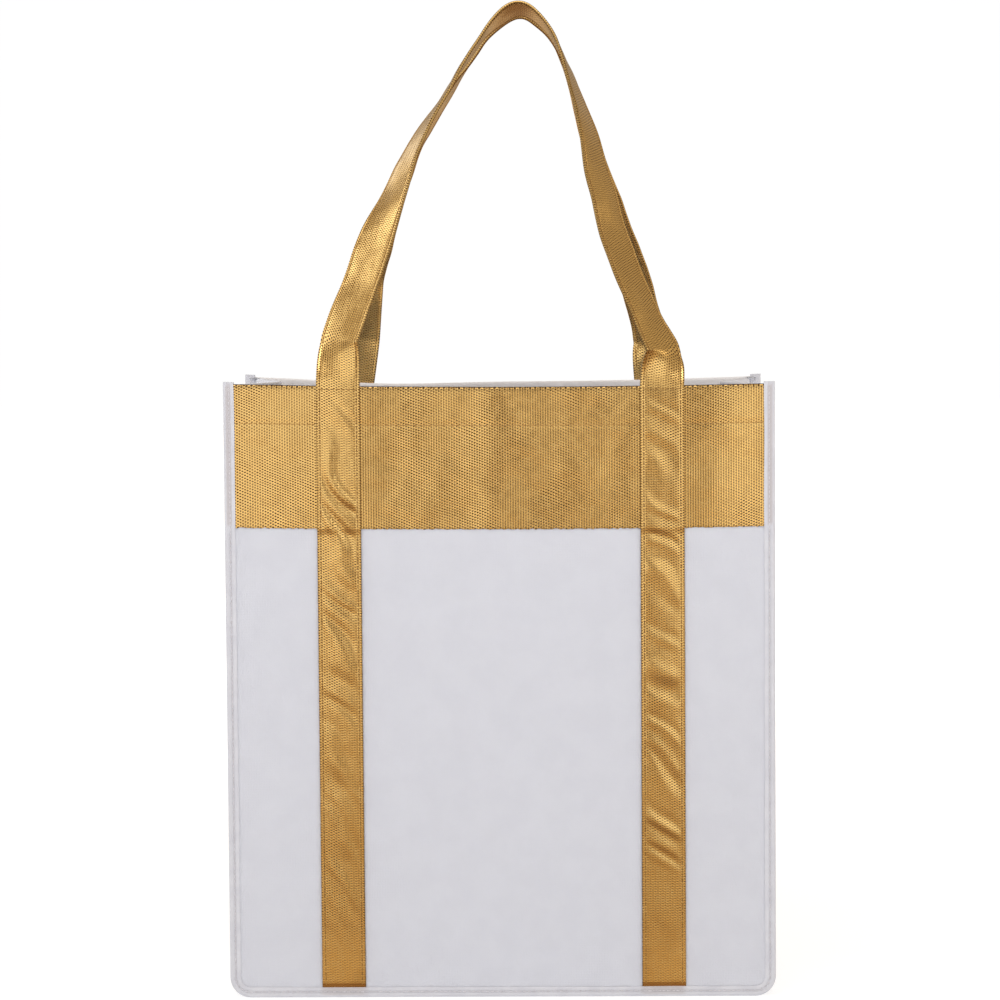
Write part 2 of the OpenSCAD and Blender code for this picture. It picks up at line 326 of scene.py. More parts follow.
def board_sheet():
    """Plain white board with a slightly fibrous face and greyer scuffs."""
    n = Nodes("white_board")
    at = n.add("ShaderNodeTexCoord").outputs["Object"]
    fibres = n.noise(at, 1.5 * MM, 4.0, (1, 0.4, 1))
    scuffs = n.noise(at, 40 * MM, 4.0)
    n.normal(n.bump(fibres, 0.05 * MM))
    n.colour(n.mix(n.span(scuffs, 0.45, 0.75), (0.74, 0.735, 0.75, 1), (0.62, 0.61, 0.62, 1)))
    n.roughness(n.span(scuffs, 0.3, 0.7, 0.5, 0.68))
    return n.material


BAND_GOLD = gold_cloth("gold_band_cloth", 1.46 * MM, 1.62 * MM, False, 0.15 * MM)
STRAP_GOLD = gold_cloth("gold_strap_cloth", 1.42 * MM, 1.55 * MM, True, 0.14 * MM)
WHITE = white_cloth()
TAPE = tape_cloth()
GOLD_THREAD = thread("gold_thread", (0.52, 0.30, 0.085, 1), (0.20, 0.095, 0.020, 1), 0.35)
HEM_THREAD = thread("gold_hem_thread", (0.72, 0.46, 0.16, 1), (0.42, 0.22, 0.055, 1), 0.5)
WHITE_THREAD = thread("white_thread", (0.76, 0.75, 0.80, 1), (0.58, 0.57, 0.63, 1), 0.0)
BOARD = board_sheet()


# ---- Mesh building ----

def ease(u):
    """A smooth step from 0 to 1 while its value goes from 0 to 1."""
    u = np.clip(u, 0, 1)
    return u * u * (3 - 2 * u)


def ripple(u, v, wave, seed, count=9):
    """Soft seeded waves of about one wavelength, mostly between -1 and 1."""
    rng = np.random.default_rng(seed)
    total = 0
    for _ in range(count):
        angle, phase = rng.uniform(0, 2 * math.pi, 2)
        k = 2 * math.pi / (wave * rng.uniform(0.7, 1.4))
        total = total + np.sin(k * (u * math.cos(angle) + v * math.sin(angle)) + phase)
    return total / math.sqrt(count)


def make_object(name, points, faces, uv, material, attributes=None, sharp=50):
    """A smooth mesh object with its flat place on the cloth as a UV map."""
    a, b, c = (points[np.array([f[k] for f in faces])] for k in range(3))
    if (a * np.cross(b, c)).sum() < 0:
        faces = [f[::-1] for f in faces]
    mesh = bpy.data.meshes.new(name)
    mesh.from_pydata(points.tolist(), [], faces)
    corners = np.zeros(len(mesh.loops), np.int32)
    mesh.loops.foreach_get("vertex_index", corners)
    layer = mesh.uv_layers.new(name="flat")
    layer.data.foreach_set("uv", uv[corners].astype(np.float32).ravel())
    for key, values in (attributes or {}).items():
        made = mesh.attributes.new(key, "FLOAT", "POINT")
        made.data.foreach_set("value", np.asarray(values, np.float32).ravel())
    mesh.polygons.foreach_set("use_smooth", [True] * len(mesh.polygons))
    mesh.set_sharp_from_angle(angle=math.radians(sharp))
    mesh.materials.append(material)
    made = bpy.data.objects.new(name, mesh)
    bpy.context.scene.collection.objects.link(made)
    return made


def skin(name, top, bottom, u, v, material, attributes=None):
    """A closed sheet between two grids of points."""
    rows, cols = top.shape[:2]
    count = rows * cols
    points = np.concatenate([top.reshape(-1, 3), bottom.reshape(-1, 3)])
    r, c = np.meshgrid(np.arange(rows - 1), np.arange(cols - 1), indexing="ij")
    a = (r * cols + c).ravel()
    upper = np.stack([a, a + 1, a + cols + 1, a + cols], 1)
    loop = np.concatenate([
        np.arange(cols - 1), np.arange(rows - 1) * cols + cols - 1,
        (rows - 1) * cols + np.arange(cols - 1, 0, -1), np.arange(rows - 1, 0, -1) * cols,
    ])
    after = np.roll(loop, -1)
    sides = np.stack([loop, loop + count, after + count, after], 1)
    faces = np.concatenate([upper, upper[:, ::-1] + count, sides]).tolist()
    flat = np.stack([np.broadcast_to(u, (rows, cols)), np.broadcast_to(v, (rows, cols))], -1).reshape(-1, 2)
    both = {k: np.tile(np.broadcast_to(x, (rows, cols)).ravel(), 2) for k, x in (attributes or {}).items()}
    return make_object(name, points, faces, np.tile(flat, (2, 1)), material, both)


def unit(v):
    """Vectors scaled to a length of 1."""
    return v / np.maximum(np.linalg.norm(v, axis=-1, keepdims=True), 1e-12)


def grid_normals(grid):
    """The direction that a grid of points faces, at each point."""
    return unit(np.cross(np.gradient(grid, axis=1), np.gradient(grid, axis=0)))


def sheet(name, middle, thickness, u, v, material, attributes=None):
    """A closed sheet of one thickness round its middle surface."""
    shift = grid_normals(middle) * thickness / 2
    return skin(name, middle + shift, middle - shift, u, v, material, attributes)


def lengths(line):
    """Distance along a line of points, from its first point."""
    return np.concatenate([[0], np.cumsum(np.linalg.norm(np.diff(line, axis=0), axis=1))])


def resample(line, step, *values):
    """A line of points, and values on it, at even steps along it."""
    along = lengths(line)
    at = np.linspace(0, along[-1], max(2, int(round(along[-1] / step)) + 1))
    columns = [np.interp(at, along, line[:, k]) for k in range(line.shape[1])]
    return (np.stack(columns, 1), at, *[np.interp(at, along, x) for x in values])


# ---- How the soft bag stands away from its flat shape ----

# Height and wavelength in mm, and phase, of the flutes near the rim of the front and the back
FLUTES = (
    ((0.35, 118, 0.3), (0.26, 71, 2.2), (0.17, 43, 1.0)),
    ((0.35, 104, 1.9), (0.26, 66, 0.4), (0.17, 39, 2.7)),
)
BELLY = 4.4 * MM


def swell(x, z, side):
    """How far the front (0) or the back (1) stands outwards."""
    across = np.clip(1 - (x / SEAM_X) ** 2, 0, 1)
    height = np.clip(z / RIM, 0, 1)
    round_front = np.clip(1 - np.abs(x / SEAM_X) ** 2.6, 0, 1)
    belly = BELLY * round_front * np.sin(0.86 * math.pi * height) ** 0.8
    near_rim = ease((height - 0.55) / 0.35)
    drift = 0.10 * np.sin(height * 9 + side)
    flutes = sum(
        a * MM * np.sin(2 * math.pi * x / (wave * MM) + phase + drift * 6) for a, wave, phase in FLUTES[side]
    )
    crumple = 0.16 * MM * ripple(x, z, 45 * MM, 11 + side) + 0.05 * MM * ripple(x, z, 17 * MM, 21 + side)
    return belly + np.sqrt(across) * (near_rim * flutes + crumple * ease(height / 0.1))


def sag(x, z, back):
    """How far the rim droops between its ends. The back droops more, most of all beside its left leg."""
    t = x / SEAM_X
    dip = -1.3 * (1 - t * t) - 1.9 * np.exp(-((x + 70 * MM) / (45 * MM)) ** 2)
    return (-0.6 - 0.8 * t + 1.7 * t * t + back * dip) * MM * np.clip(z / RIM, 0, 1) ** 2


def warp(p):
    """Moves points from the flat bag to the soft one. Above the rim it fades out."""
    x, y, z = p[..., 0], p[..., 1], np.minimum(p[..., 2], RIM)
    fade = 1 - ease((p[..., 2] - TAPE_TOP) / (30 * MM))
    front, back = np.maximum(0, -y / FACE), np.maximum(0, y / FACE)
    out = p.copy()
    out[..., 1] += fade * (back * swell(x, z, 1) - front * swell(x, z, 0))
    out[..., 2] += fade * sag(x, z, back)
    return out


def mirrored(p):
    """Points of the front, taken to the back."""
    return p * np.array([1, -1, 1])


def placed(points, side):
    """Front points as they are, or mirrored to the back, then softened."""
    return warp(points if side == 0 else mirrored(points))


SIDES = ("front", "back")


# ---- Front and back panels, each with its hem folded in ----

def fold_line(outer_y, inner_y, low, hem_end, top, step):
    """A cloth's path in (depth, height): up the hem's inner layer, over the rim and down the outside."""
    radius = (outer_y - inner_y) / 2
    middle, fold_z = (outer_y + inner_y) / 2, top - radius - CLOTH_T / 2
    up = [(inner_y, z) for z in np.arange(hem_end, fold_z, step)]
    arc = [
        (middle - radius * math.cos(a), fold_z + radius * math.sin(a)) for a in np.linspace(0, math.pi, 7)
    ]
    down = [(outer_y, z) for z in np.linspace(fold_z, low, int((fold_z - low) / step) + 2)[1:]]
    return np.array(up + arc + down), len(up)


def half_width_at(z, half, radius):
    """Half width of an outline whose bottom corners are round."""
    drop = np.clip(radius - z, 0, radius)
    return half - radius + np.sqrt(radius * radius - drop * drop)


def make_panel(side):
    """A panel in one piece with its hem, which is folded in and sewn down at HEM_Z."""
    line, hem_rows = fold_line(
        FACE - CLOTH_T / 2, FACE - 1.5 * CLOTH_T, 0.7 * MM, HEM_Z - 1.5 * MM, RIM, 3 * MM
    )
    half = half_width_at(line[:, 1] - 0.5 * MM, CLOTH_X, CORNER_R - TAPE_T)
    # From 0 on the hem's inner layer, which ends short of the seams, to 1 past the fold
    share = ease((np.arange(len(line)) - hem_rows) / 6)
    half = SEAM_X - 3 * MM + (half - SEAM_X + 3 * MM) * share
    t = np.linspace(-1, 1, 111)
    points = np.stack([
        t[None, :] * half[:, None],
        np.broadcast_to(-line[:, :1], (len(line), len(t))),
        np.broadcast_to(line[:, 1:], (len(line), len(t))),
    ], -1)
    # The hem's inner layer gets painted light through its attribute, as it lies in shade inside the bag
    panel = sheet(
        f"{SIDES[side]}_panel_cloth", placed(points, side), CLOTH_T,
        points[..., 0], lengths(line)[:, None], WHITE, {"hem_painted_light": 1 - share[:, None]},
    )
    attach(panel, "bag")
    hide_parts(f"{SIDES[side]}_panel")


# ---- Gold bands ----

def make_band(side):
    """A band: it rolls over the rim, dips along the hem's stitches and ends in a slightly frayed edge. Its
    rim and lower edge get painted shade.
    """
    depth = BAND_FACE - BAND_T / 2
    fold_r = 1.2 * MM
    # The back band starts a little lower, so that it doesn't show over the white rim
    top = RIM - fold_r - side * 0.5 * MM
    roll = [
        (depth - fold_r * (1 - math.cos(a)), top + fold_r * math.sin(a))
        for a in np.linspace(math.radians(75), 0, 6)
    ]
    fall = [(depth, z) for z in np.linspace(top, BAND_Z, 52)[1:]]
    line = np.array(roll + fall)
    x = np.linspace(-CLOTH_X + 0.5 * MM, CLOTH_X - 0.5 * MM, 241)
    points = np.stack([
        np.broadcast_to(x, (len(line), len(x))),
        np.broadcast_to(-line[:, :1], (len(line), len(x))),
        np.broadcast_to(line[:, 1:], (len(line), len(x))),
    ], -1).copy()
    along = lengths(line)
    points[-1, :, 2] += 0.22 * MM * ripple(x, 0 * x, 3.2 * MM, 31 + side)
    drag = np.exp(-((along[:, None] - (RIM - HEM_Z)) / (1.1 * MM)) ** 2)
    points[..., 1] += 0.18 * MM * drag
    # Painted shade along the roll over the rim and along the lower raw edge, carried to the gold by the edge
    # attribute
    rim_painted_shade = 1 - ease(along / (2.6 * MM))
    low_edge_painted_shade = 0.35 * ease((along - along[-1] + 1.6 * MM) / (1.6 * MM))
    band = sheet(
        f"{SIDES[side]}_band_cloth", placed(points, side), BAND_T, points[..., 0], along[:, None],
        BAND_GOLD, {"edge": (rim_painted_shade + low_edge_painted_shade)[:, None]},
    )
    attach(band, "bag")
    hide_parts(f"{SIDES[side]}_band")


# ---- One strip of cloth for both side walls and the bottom ----

def tuck(y, z):
    """How far the side wall is tucked in."""
    u, k = y / WALL_HALF, CREASE_SOFT
    fold = (math.sqrt(1 + k * k) - np.sqrt(u * u + k * k)) / (math.sqrt(1 + k * k) - k)
    return TUCK_IN * np.clip(fold, 0, 1) * ease((z - TUCK_START) / (RIM - TUCK_START))


def wall_give(y, z, side):
    """The slight outward give and crumple of a side wall. Side is -1 or 1."""
    across = np.clip(1 - (y / WALL_HALF) ** 2, 0, 1)
    low = ease(z / (60 * MM)) * (1 - ease((z - 120 * MM) / (110 * MM)))
    crumple = 0.35 * MM * ripple(y, z, 38 * MM, 41 + side) + 0.12 * MM * ripple(y, z, 15 * MM, 51 + side)
    return across * (1.6 * MM * low + crumple * ease((z - 20 * MM) / (60 * MM)))


def gusset_path():
    """Half of the strip's path in (x, height), with outward normals: from the bottom's middle to the hem."""
    middle, radius = SEAM_X - CLOTH_T / 2, 5 * MM
    low, fold = BOTTOM_FLANGE + CLOTH_T / 2, CLOTH_T / 2
    rows = [(x, low, 0, -1) for x in np.linspace(0, middle - radius, 40)]
    for a in np.linspace(0, math.pi / 2, 7)[1:]:
        rows.append((
            middle - radius + radius * math.sin(a), low + radius - radius * math.cos(a),
            math.sin(a), -math.cos(a),
        ))
    fold_z = RIM - CLOTH_T
    rows += [(middle, z, 1, 0) for z in np.linspace(low + radius, fold_z, 118)[1:]]
    for a in np.linspace(0, math.pi, 7)[1:]:
        rows.append((
            middle - fold + fold * math.cos(a), fold_z + fold * math.sin(a), math.cos(a), math.sin(a),
        ))
    inner = [(middle - 2 * fold, z, -1, 0) for z in np.linspace(fold_z, HEM_Z - 1.5 * MM, 9)[1:]]
    return np.array(rows + inner), len(rows) - 7


def make_gusset():
    """The strip, with its edges turned out into the seams along both sides."""
    half, wall_end = gusset_path()
    left = half[:0:-1] * np.array([-1, 1, -1, 1])
    path = np.concatenate([left, half])
    hem = np.concatenate([np.arange(len(half))[:0:-1], np.arange(len(half))]) > wall_end
    seam_y = FACE - 1.5 * CLOTH_T
    flange = [
        (seam_y, SIDE_FLANGE - TAPE_T), (seam_y, 3.2 * MM), (seam_y, 1.1 * MM),
        (seam_y - 0.2 * MM, 0.2 * MM),
    ]
    wall_y = np.linspace(WALL_HALF - 0.6 * MM, -WALL_HALF + 0.6 * MM, 49)
    columns = np.array(flange + [(y, 0) for y in wall_y] + [(-y, o) for y, o in flange[::-1]])
    y = np.broadcast_to(columns[:, 0], (len(path), len(columns))).copy()
    out = np.broadcast_to(columns[:, 1], y.shape).copy()
    flat_y = np.sign(columns[:, 0]) * (np.abs(columns[:, 0]) + columns[:, 1])
    # The hem's inner layer has no turned-out edges and ends short of the seams
    y[hem] = np.linspace(1, -1, len(columns)) * (WALL_HALF - 2.2 * MM)
    out[hem] = 0
    x, z = path[:, :1] + path[:, 2:3] * out, path[:, 1:2] + path[:, 3:4] * out
    side = np.sign(path[:, :1])
    inset = tuck(y, z) - np.where(side < 0, wall_give(y, z, -1), wall_give(y, z, 1)) * (z > 12 * MM)
    points = np.stack([x - side * inset * (out == 0), y, np.broadcast_to(z, y.shape)], -1)
    strip = sheet(
        "gusset_strip_cloth", warp(points), CLOTH_T, np.broadcast_to(flat_y, y.shape),
        lengths(path[:, :2])[:, None], WHITE,
    )
    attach(strip, "bag")
    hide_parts("left_gusset", "bottom_panel", "right_gusset")


# ---- Binding tape round the raw seams ----

# The tape's section in mm: distance in from the seam's outer edge, then depth behind the tape's front face.
# The first nine points are the leaf on the front, up to where the tape turns round the edge.
FRONT_LEAF = 9
TAPE_OUTER = (
    (6.3, 0.06), (5.6, 0.0), (4.6, -0.03), (4.0, 0.0), (3.6, 0.05), (3.4, 0.07), (3.2, 0.05), (2.8, 0.0),
    (2.0, -0.08), (1.1, -0.06), (0.45, 0.2), (0.1, 0.75), (0.0, 1.4), (0.0, 2.2), (0.1, 2.85), (0.45, 3.3),
    (1.1, 3.52), (3.4, 3.46), (6.3, 3.5),
)


def tape_path():
    """Half of the seam's outer edge from the bottom's middle to the tape's top end, with inward normals."""
    rows = [(x, 0, 0, 1) for x in np.linspace(0, HALF_WIDTH - CORNER_R, 60)]
    for a in np.linspace(0, math.pi / 2, 13)[1:]:
        rows.append((
            HALF_WIDTH - CORNER_R + CORNER_R * math.sin(a), CORNER_R - CORNER_R * math.cos(a),
            -math.sin(a), math.cos(a),
        ))
    rows += [(HALF_WIDTH, z, -1, 0) for z in np.linspace(CORNER_R, TAPE_TOP - 0.7 * MM, 125)[1:]]
    return np.array(rows)


def whole_tape_path():
    """The seam's outer edge from one top end of the tape to the other, with inward normals."""
    half = tape_path()
    return np.concatenate([half[:0:-1] * np.array([-1, 1, -1, 1]), half])


def tape_points(path, inward, depth):
    """Points at a distance in from the seam's edge and behind the tape's front face."""
    return np.stack([
        path[:, :1] + path[:, 2:3] * inward,
        np.broadcast_to(-TAPE_FACE + depth, (len(path), np.shape(depth)[-1])),
        path[:, 1:2] + path[:, 3:4] * inward,
    ], -1)


def make_binding(side):
    """The tape: it lies on the band above, on the cloth below, and lets the gold show through faintly."""
    path = whole_tape_path()
    along = lengths(path[:, :2])
    section = np.array(TAPE_OUTER) * MM
    inward = np.broadcast_to(section[:, 0], (len(path), len(section))).copy()
    upright = np.abs(path[:, 2:3])
    inward *= 1 - (1 - upright) * (1 - BOTTOM_FLANGE / SIDE_FLANGE)
    wobble = ripple(along, 0 * along, 60 * MM, 61 + side)[:, None] * 0.14 * MM
    inward += wobble * (inward / SIDE_FLANGE) ** 2
    outer = tape_points(path, inward, section[:, 1])
    front_leaf = np.arange(len(section)) < FRONT_LEAF
    below = 1 - ease((path[:, 1:2] - BAND_Z + 4 * MM) / (5 * MM))
    outer[..., 1] += below * front_leaf * BAND_T * 0.9 * ease((inward - 1.5 * MM) / (2 * MM))
    edge = np.stack([np.gradient(section[:, 0]), np.gradient(section[:, 1])], 1)
    into = unit(np.stack([edge[:, 1], -edge[:, 0]], 1)) * TAPE_T
    inner = tape_points(path, inward + into[:, 0], section[:, 1] + into[:, 1])
    inner[..., 1] += outer[..., 1] - (section[:, 1] - TAPE_FACE)
    x, z = outer[..., 0], outer[..., 2]
    over_band = ease((z - BAND_Z) / (1.0 * MM)) * (1 - ease((z - RIM) / (1 * MM)))
    near_strap = sum(
        1 - ease((np.abs(x - at) - STRAP_W / 2 + 0.8 * MM) / (1.6 * MM)) for at in (LEFT_X, RIGHT_X)
    ) * (z < 8 * MM)
    outer_part = ease((inward - 0.2 * MM) / (1 * MM)) * (1 - ease((inward - 4.0 * MM) / (0.6 * MM)))
    warm = (over_band * outer_part + near_strap * 0.7) * front_leaf
    outer_zone = 0.30 * (1 - ease((inward - 4.0 * MM) / (0.6 * MM)))
    tape = skin(
        f"{SIDES[side]}_binding_tape", placed(outer, side), placed(inner, side),
        lengths(section)[None, :], along[:, None], TAPE, {"warm": warm, "edge": outer_zone},
    )
    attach(tape, "bag")
    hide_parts(f"{SIDES[side]}_binding")


# ---- Straps: two sewn legs and the loop between them, in one length ----

# Each handle's route, crease to crease: place across the bag and height over the rim (mm), twist (degrees)
ROUTES = (
    (
        (-92.5, 27, 32), (-81, 58, 34), (-70, 89, 39), (-59.5, 115, 60), (-49, 140, 72), (-35, 163, 83),
        (-21, 186, 88), (-6, 207, 97), (12, 219, 104), (28, 208, 96), (38.5, 188, 86), (46.5, 165, 77),
        (53, 142, 65), (58.5, 118, 56), (65, 92, 52), (74, 65, 52), (84, 42, 52), (94.5, 20, 45),
    ),
    (
        (-89, 26, 12), (-84, 58, 38), (-74.5, 89, 47), (-64, 115, 65), (-52, 140, 78), (-37, 163, 85),
        (-21, 186, 91), (-6, 206, 98), (12, 218, 103), (28, 207, 98), (38.5, 187, 91), (46.5, 165, 80),
        (54, 142, 68), (61, 118, 56), (69, 92, 46), (79, 65, 43), (86, 42, 44), (91.5, 22, 30),
    ),
)
# The height of the routes' top and the distance between the legs that the routes are drawn for
ROUTE_RISE = 219 * MM
ROUTE_PITCH = 186.4 * MM
FOOT = STRAP_FACE - STRAP_T / 2
STRAP_STEP = 1.5 * MM
# How far above its end a strap starts to slope in under the tape
END_SLOPE = 1.8 * MM
# Each step in is followed by a slightly longer step out, so the kinks go and the loop keeps its height
SMOOTHING = (0.5, -0.51) * 60
# Places of the strap's columns across half its width, in mm
COLUMNS = (0, 2.2, 4.4, 6.4, 8.2, 9.5, 10.2, 10.55, 10.85, 11.2, 11.7, 12.15, 12.5, 12.7)


def smooth_route(route, steps=8):
    """A curve through a route's points, in metres and radians."""
    r = np.array(route, float) * np.array([MM, MM, math.pi / 180])
    made = []
    for i in range(len(r) - 1):
        a, b, c, d = r[max(i - 1, 0)], r[i], r[i + 1], r[min(i + 2, len(r) - 1)]
        for u in np.arange(steps) / steps:
            bend = (2 * a - 5 * b + 4 * c - d) * u * u + (3 * b - a - 3 * c + d) * u ** 3
            made.append((2 * b + (c - a) * u + bend) / 2)
    return np.array(made + [r[-1]])


def arch_points(route):
    """Centres in space and twists of a handle between its creases."""
    arch = smooth_route(route)
    top_x = arch[np.argmax(arch[:, 1]), 0]
    left, right = arch[0], arch[-1]
    made = []
    for x, rise, _ in arch:
        crease = left if x < top_x else right
        start = FOOT - STRAP_W / 4 * math.sin(crease[2])
        share = max(0.0, (rise - crease[1]) / (ROUTE_RISE - crease[1]))
        made.append((
            x * (RIGHT_X - LEFT_X) / ROUTE_PITCH + (LEFT_X + RIGHT_X) / 2,
            -(start + (TOP_Y - start) * share), RIM + rise * HANDLE_RISE / ROUTE_RISE,
        ))
    return np.array(made), arch[:, 2]


def strap_line(route):
    """Centres, places along and twists of a whole strap, from its left leg's end to its right leg's end."""
    arch, turns = arch_points(route)
    leg_z = np.arange(STRAP_LOW - 3 * MM, RIM, STRAP_STEP)
    left = np.stack([leg_z * 0 + LEFT_X, leg_z * 0 - FOOT, leg_z], 1)
    right = left[::-1] + np.array([RIGHT_X - LEFT_X, 0, 0])
    rise = np.linspace(0, 1, 7)[:-1, None]
    up = left[-1] * (1 - rise) + arch[0] * rise
    down = (right[0] * (1 - rise) + arch[-1] * rise)[::-1]
    line = np.concatenate([left[:-1], up, arch, down, right[1:]])
    twist_in = rise[:, 0] ** 2
    turn = np.concatenate([
        left[1:, 0] * 0, turns[0] * twist_in, turns, (turns[-1] * twist_in)[::-1], right[1:, 0] * 0,
    ])
    line, along, turn = resample(line, STRAP_STEP, turn)
    gap = np.minimum(np.linalg.norm(line - arch[0], axis=1), np.linalg.norm(line - arch[-1], axis=1))
    free = ease((gap[1:-1] - 4 * MM) / (10 * MM)) * (line[1:-1, 2] > arch[-1, 2])
    for step in SMOOTHING:
        line[1:-1] += step * free[:, None] * (line[:-2] - 2 * line[1:-1] + line[2:]) / 2
        turn[1:-1] += step * free * (turn[:-2] - 2 * turn[1:-1] + turn[2:]) / 2
    line[1:-1] = (line[:-2] + 2 * line[1:-1] + line[2:]) / 4
    turn[1:-1] = (turn[:-2] + 2 * turn[1:-1] + turn[2:]) / 4
    return line, along, turn


def strap_frames(line, turn):
    """The directions across a strap and outwards from it."""
    tangent = unit(np.gradient(line, axis=0))
    out0 = unit(np.array([0, -1, 0]) + tangent[:, 1:2] * tangent)
    across0 = np.cross(tangent, out0)
    c, s = np.cos(turn)[:, None], np.sin(turn)[:, None]
    return c * across0 + s * out0, c * out0 - s * across0


def strap_face(s):
    """Height of a strap's face over its middle: round edges, with a groove and a lip by the stitches."""
    a = np.abs(s)
    half = STRAP_W / 2
    edge = np.sqrt(1 - 0.8 * np.clip((a - half + 0.55 * MM) / (0.55 * MM), 0, 1) ** 2)
    groove = 0.24 * MM * np.exp(-((a - half + EDGE_ROW) / (0.36 * MM)) ** 2)
    lip = 0.12 * MM * np.exp(-((a - half + 0.9 * MM) / (0.5 * MM)) ** 2)
    pillow = 0.14 * MM * np.clip(1 - (s / (10 * MM)) ** 2, 0, 1)
    return STRAP_T / 2 * edge - groove + lip + pillow


def puckers(s, z, leg, side):
    """Wrinkles that the stitching draws in: steep slants on a left leg, flatter ones on a right leg."""
    slant, wave = (math.radians(58), 11.5 * MM) if leg < 0 else (math.radians(34), 14 * MM)
    across = s * math.sin(slant) + z * math.cos(slant)
    seed = 71 + side * 4 + (leg > 0)
    drift = 2.2 * ripple(z, s, 55 * MM, seed)
    lines = np.sin(2 * math.pi * across / wave + drift)
    lines += 0.5 * np.sin(2 * math.pi * across / (0.61 * wave) + 1.7 * drift)
    strength = 0.5 + 0.5 * ripple(z, 0 * z, 70 * MM, seed + 20)
    inside = np.clip(1 - (np.abs(s) / (10.4 * MM)) ** 4, 0, 1)
    ends = ease((z - 32 * MM) / (22 * MM)) * ease((RIM - z - 2 * MM) / (10 * MM))
    return 0.50 * MM * np.clip(strength, 0.35, 1.2) * lines * inside * ends


def strap_surface(side):
    """The grids of a strap's outer and inner face, with its places across and along."""
    line, along, turn = strap_line(ROUTES[side])
    across, out = strap_frames(line, turn)
    half = np.array(COLUMNS) * MM
    s = np.concatenate([-half[:0:-1], half])[None, :]
    z = line[:, 2:3]
    leg = np.where(line[:, :1] < (LEFT_X + RIGHT_X) / 2, -1, 1)
    above = ease((z - RIM) / (12 * MM))
    plain = strap_face(s)
    wrinkle = np.where(leg < 0, puckers(s, z, -1, side), puckers(-s, z, 1, side)) * (1 - above)
    crumple = above * (
        0.34 * MM * ripple(along[:, None], s, 34 * MM, 81 + side)
        + 0.05 * MM * ripple(along[:, None], s, 13 * MM, 91 + side)
    )
    hug = BAND_T * (1 - ease((z - BAND_Z + 3.5 * MM) / (4 * MM)))
    end = ease((STRAP_LOW + END_SLOPE - z) / END_SLOPE)
    outer_h = (plain + wrinkle + crumple - hug) * (1 - end) - 0.9 * (STRAP_FACE - TAPE_FACE) * end
    inner_h = -plain * above - STRAP_T / 2 * (1 - above) + crumple - hug * 0.6
    centre, wide, outward = line[:, None, :], across[:, None, :], out[:, None, :]
    outer = centre + wide * s[..., None] + outward * outer_h[..., None]
    inner = centre + wide * s[..., None] + outward * inner_h[..., None]
    return outer, inner, s, along


def make_strap(side):
    """One strap. Its very edges get painted shade, and its weave is pressed smooth near its ends."""
    outer, inner, s, along = strap_surface(side)
    body = f"{SIDES[side]}_handle"
    z = outer[..., 2]
    # Painted shade along the strap's very edges
    edge = 0.5 * ease((np.abs(s) - 12.1 * MM) / (0.4 * MM)) + 0 * z
    smooth = 0.7 * (1 - ease((z - 22 * MM) / (34 * MM)))
    strap = skin(
        f"{SIDES[side]}_strap_cloth", placed(outer, side), placed(inner, side),
        s, along[:, None], STRAP_GOLD, {"edge": edge, "smooth": smooth},
    )
    join(strap)
    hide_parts(f"{SIDES[side]}_left_strap", body, f"{SIDES[side]}_right_strap")


def join(piece):
    """Bakes the place of a piece that crosses the rim, between the bag and its handle, into its mesh."""
    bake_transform(piece)


# ---- Stitches ----

# Each ring round a stitch: its place along the stitch and its share of the full thickness
STITCH_RINGS = ((-0.5, 0.15), (-0.44, 0.62), (-0.25, 1.0), (0, 1.0), (0.25, 1.0), (0.44, 0.62), (0.5, 0.15))
STITCH_SIDES = 6


def stitches(line, normals, pitch=2.7 * MM, share=0.8, width=0.62 * MM, height=0.5 * MM):
    """Points, faces and flat places of a row of stitches along a line on the cloth."""
    along = lengths(line)
    count = max(1, int(along[-1] / pitch))
    at = (np.arange(count) + 0.5) * along[-1] / count

    def sampled(values):
        return np.stack([np.interp(at, along, values[:, k]) for k in range(3)], 1)

    centre, up = sampled(line), unit(sampled(normals))
    forward = unit(sampled(np.gradient(line, axis=0)))
    beside = unit(np.cross(forward, up))
    angles = np.arange(STITCH_SIDES) * 2 * math.pi / STITCH_SIDES
    shape = np.array([
        (a * pitch * share, r * width / 2 * math.cos(t), r * height / 2 * math.sin(t))
        for a, r in STITCH_RINGS for t in angles
    ])
    points = (
        centre[:, None] + forward[:, None] * shape[None, :, 0:1]
        + beside[:, None] * shape[None, :, 1:2] + up[:, None] * shape[None, :, 2:3]
    )
    faces = []
    for r in range(len(STITCH_RINGS) - 1):
        for k in range(STITCH_SIDES):
            a, b = r * STITCH_SIDES + k, r * STITCH_SIDES + (k + 1) % STITCH_SIDES
            faces.append((a, b, b + STITCH_SIDES, a + STITCH_SIDES))
    last = (len(STITCH_RINGS) - 1) * STITCH_SIDES
    faces.append(tuple(range(STITCH_SIDES))[::-1])
    faces.append(tuple(last + k for k in range(STITCH_SIDES)))
    uv = np.stack([shape[None, :, 1] + 0 * at[:, None], shape[None, :, 0] + at[:, None]], -1)
    return points, faces, uv


def make_thread(name, rows, material, nodes):
    """All rows of stitches of one thread, as one piece."""
    points, faces, uv = [], [], []
    base = 0
    for line, normals in rows:
        made, pattern, flat = stitches(line, normals)
        for one in made:
            faces += [tuple(i + base for i in f) for f in pattern]
            base += len(one)
        points.append(made.reshape(-1, 3))
        uv.append(flat.reshape(-1, 2))
    piece = make_object(name, np.concatenate(points), faces, np.concatenate(uv), material)
    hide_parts(*nodes)
    return piece


def row_on(points, outwards):
    """A row of stitches on points that are already in their soft place."""
    return points, np.broadcast_to(np.array(outwards, float), points.shape)


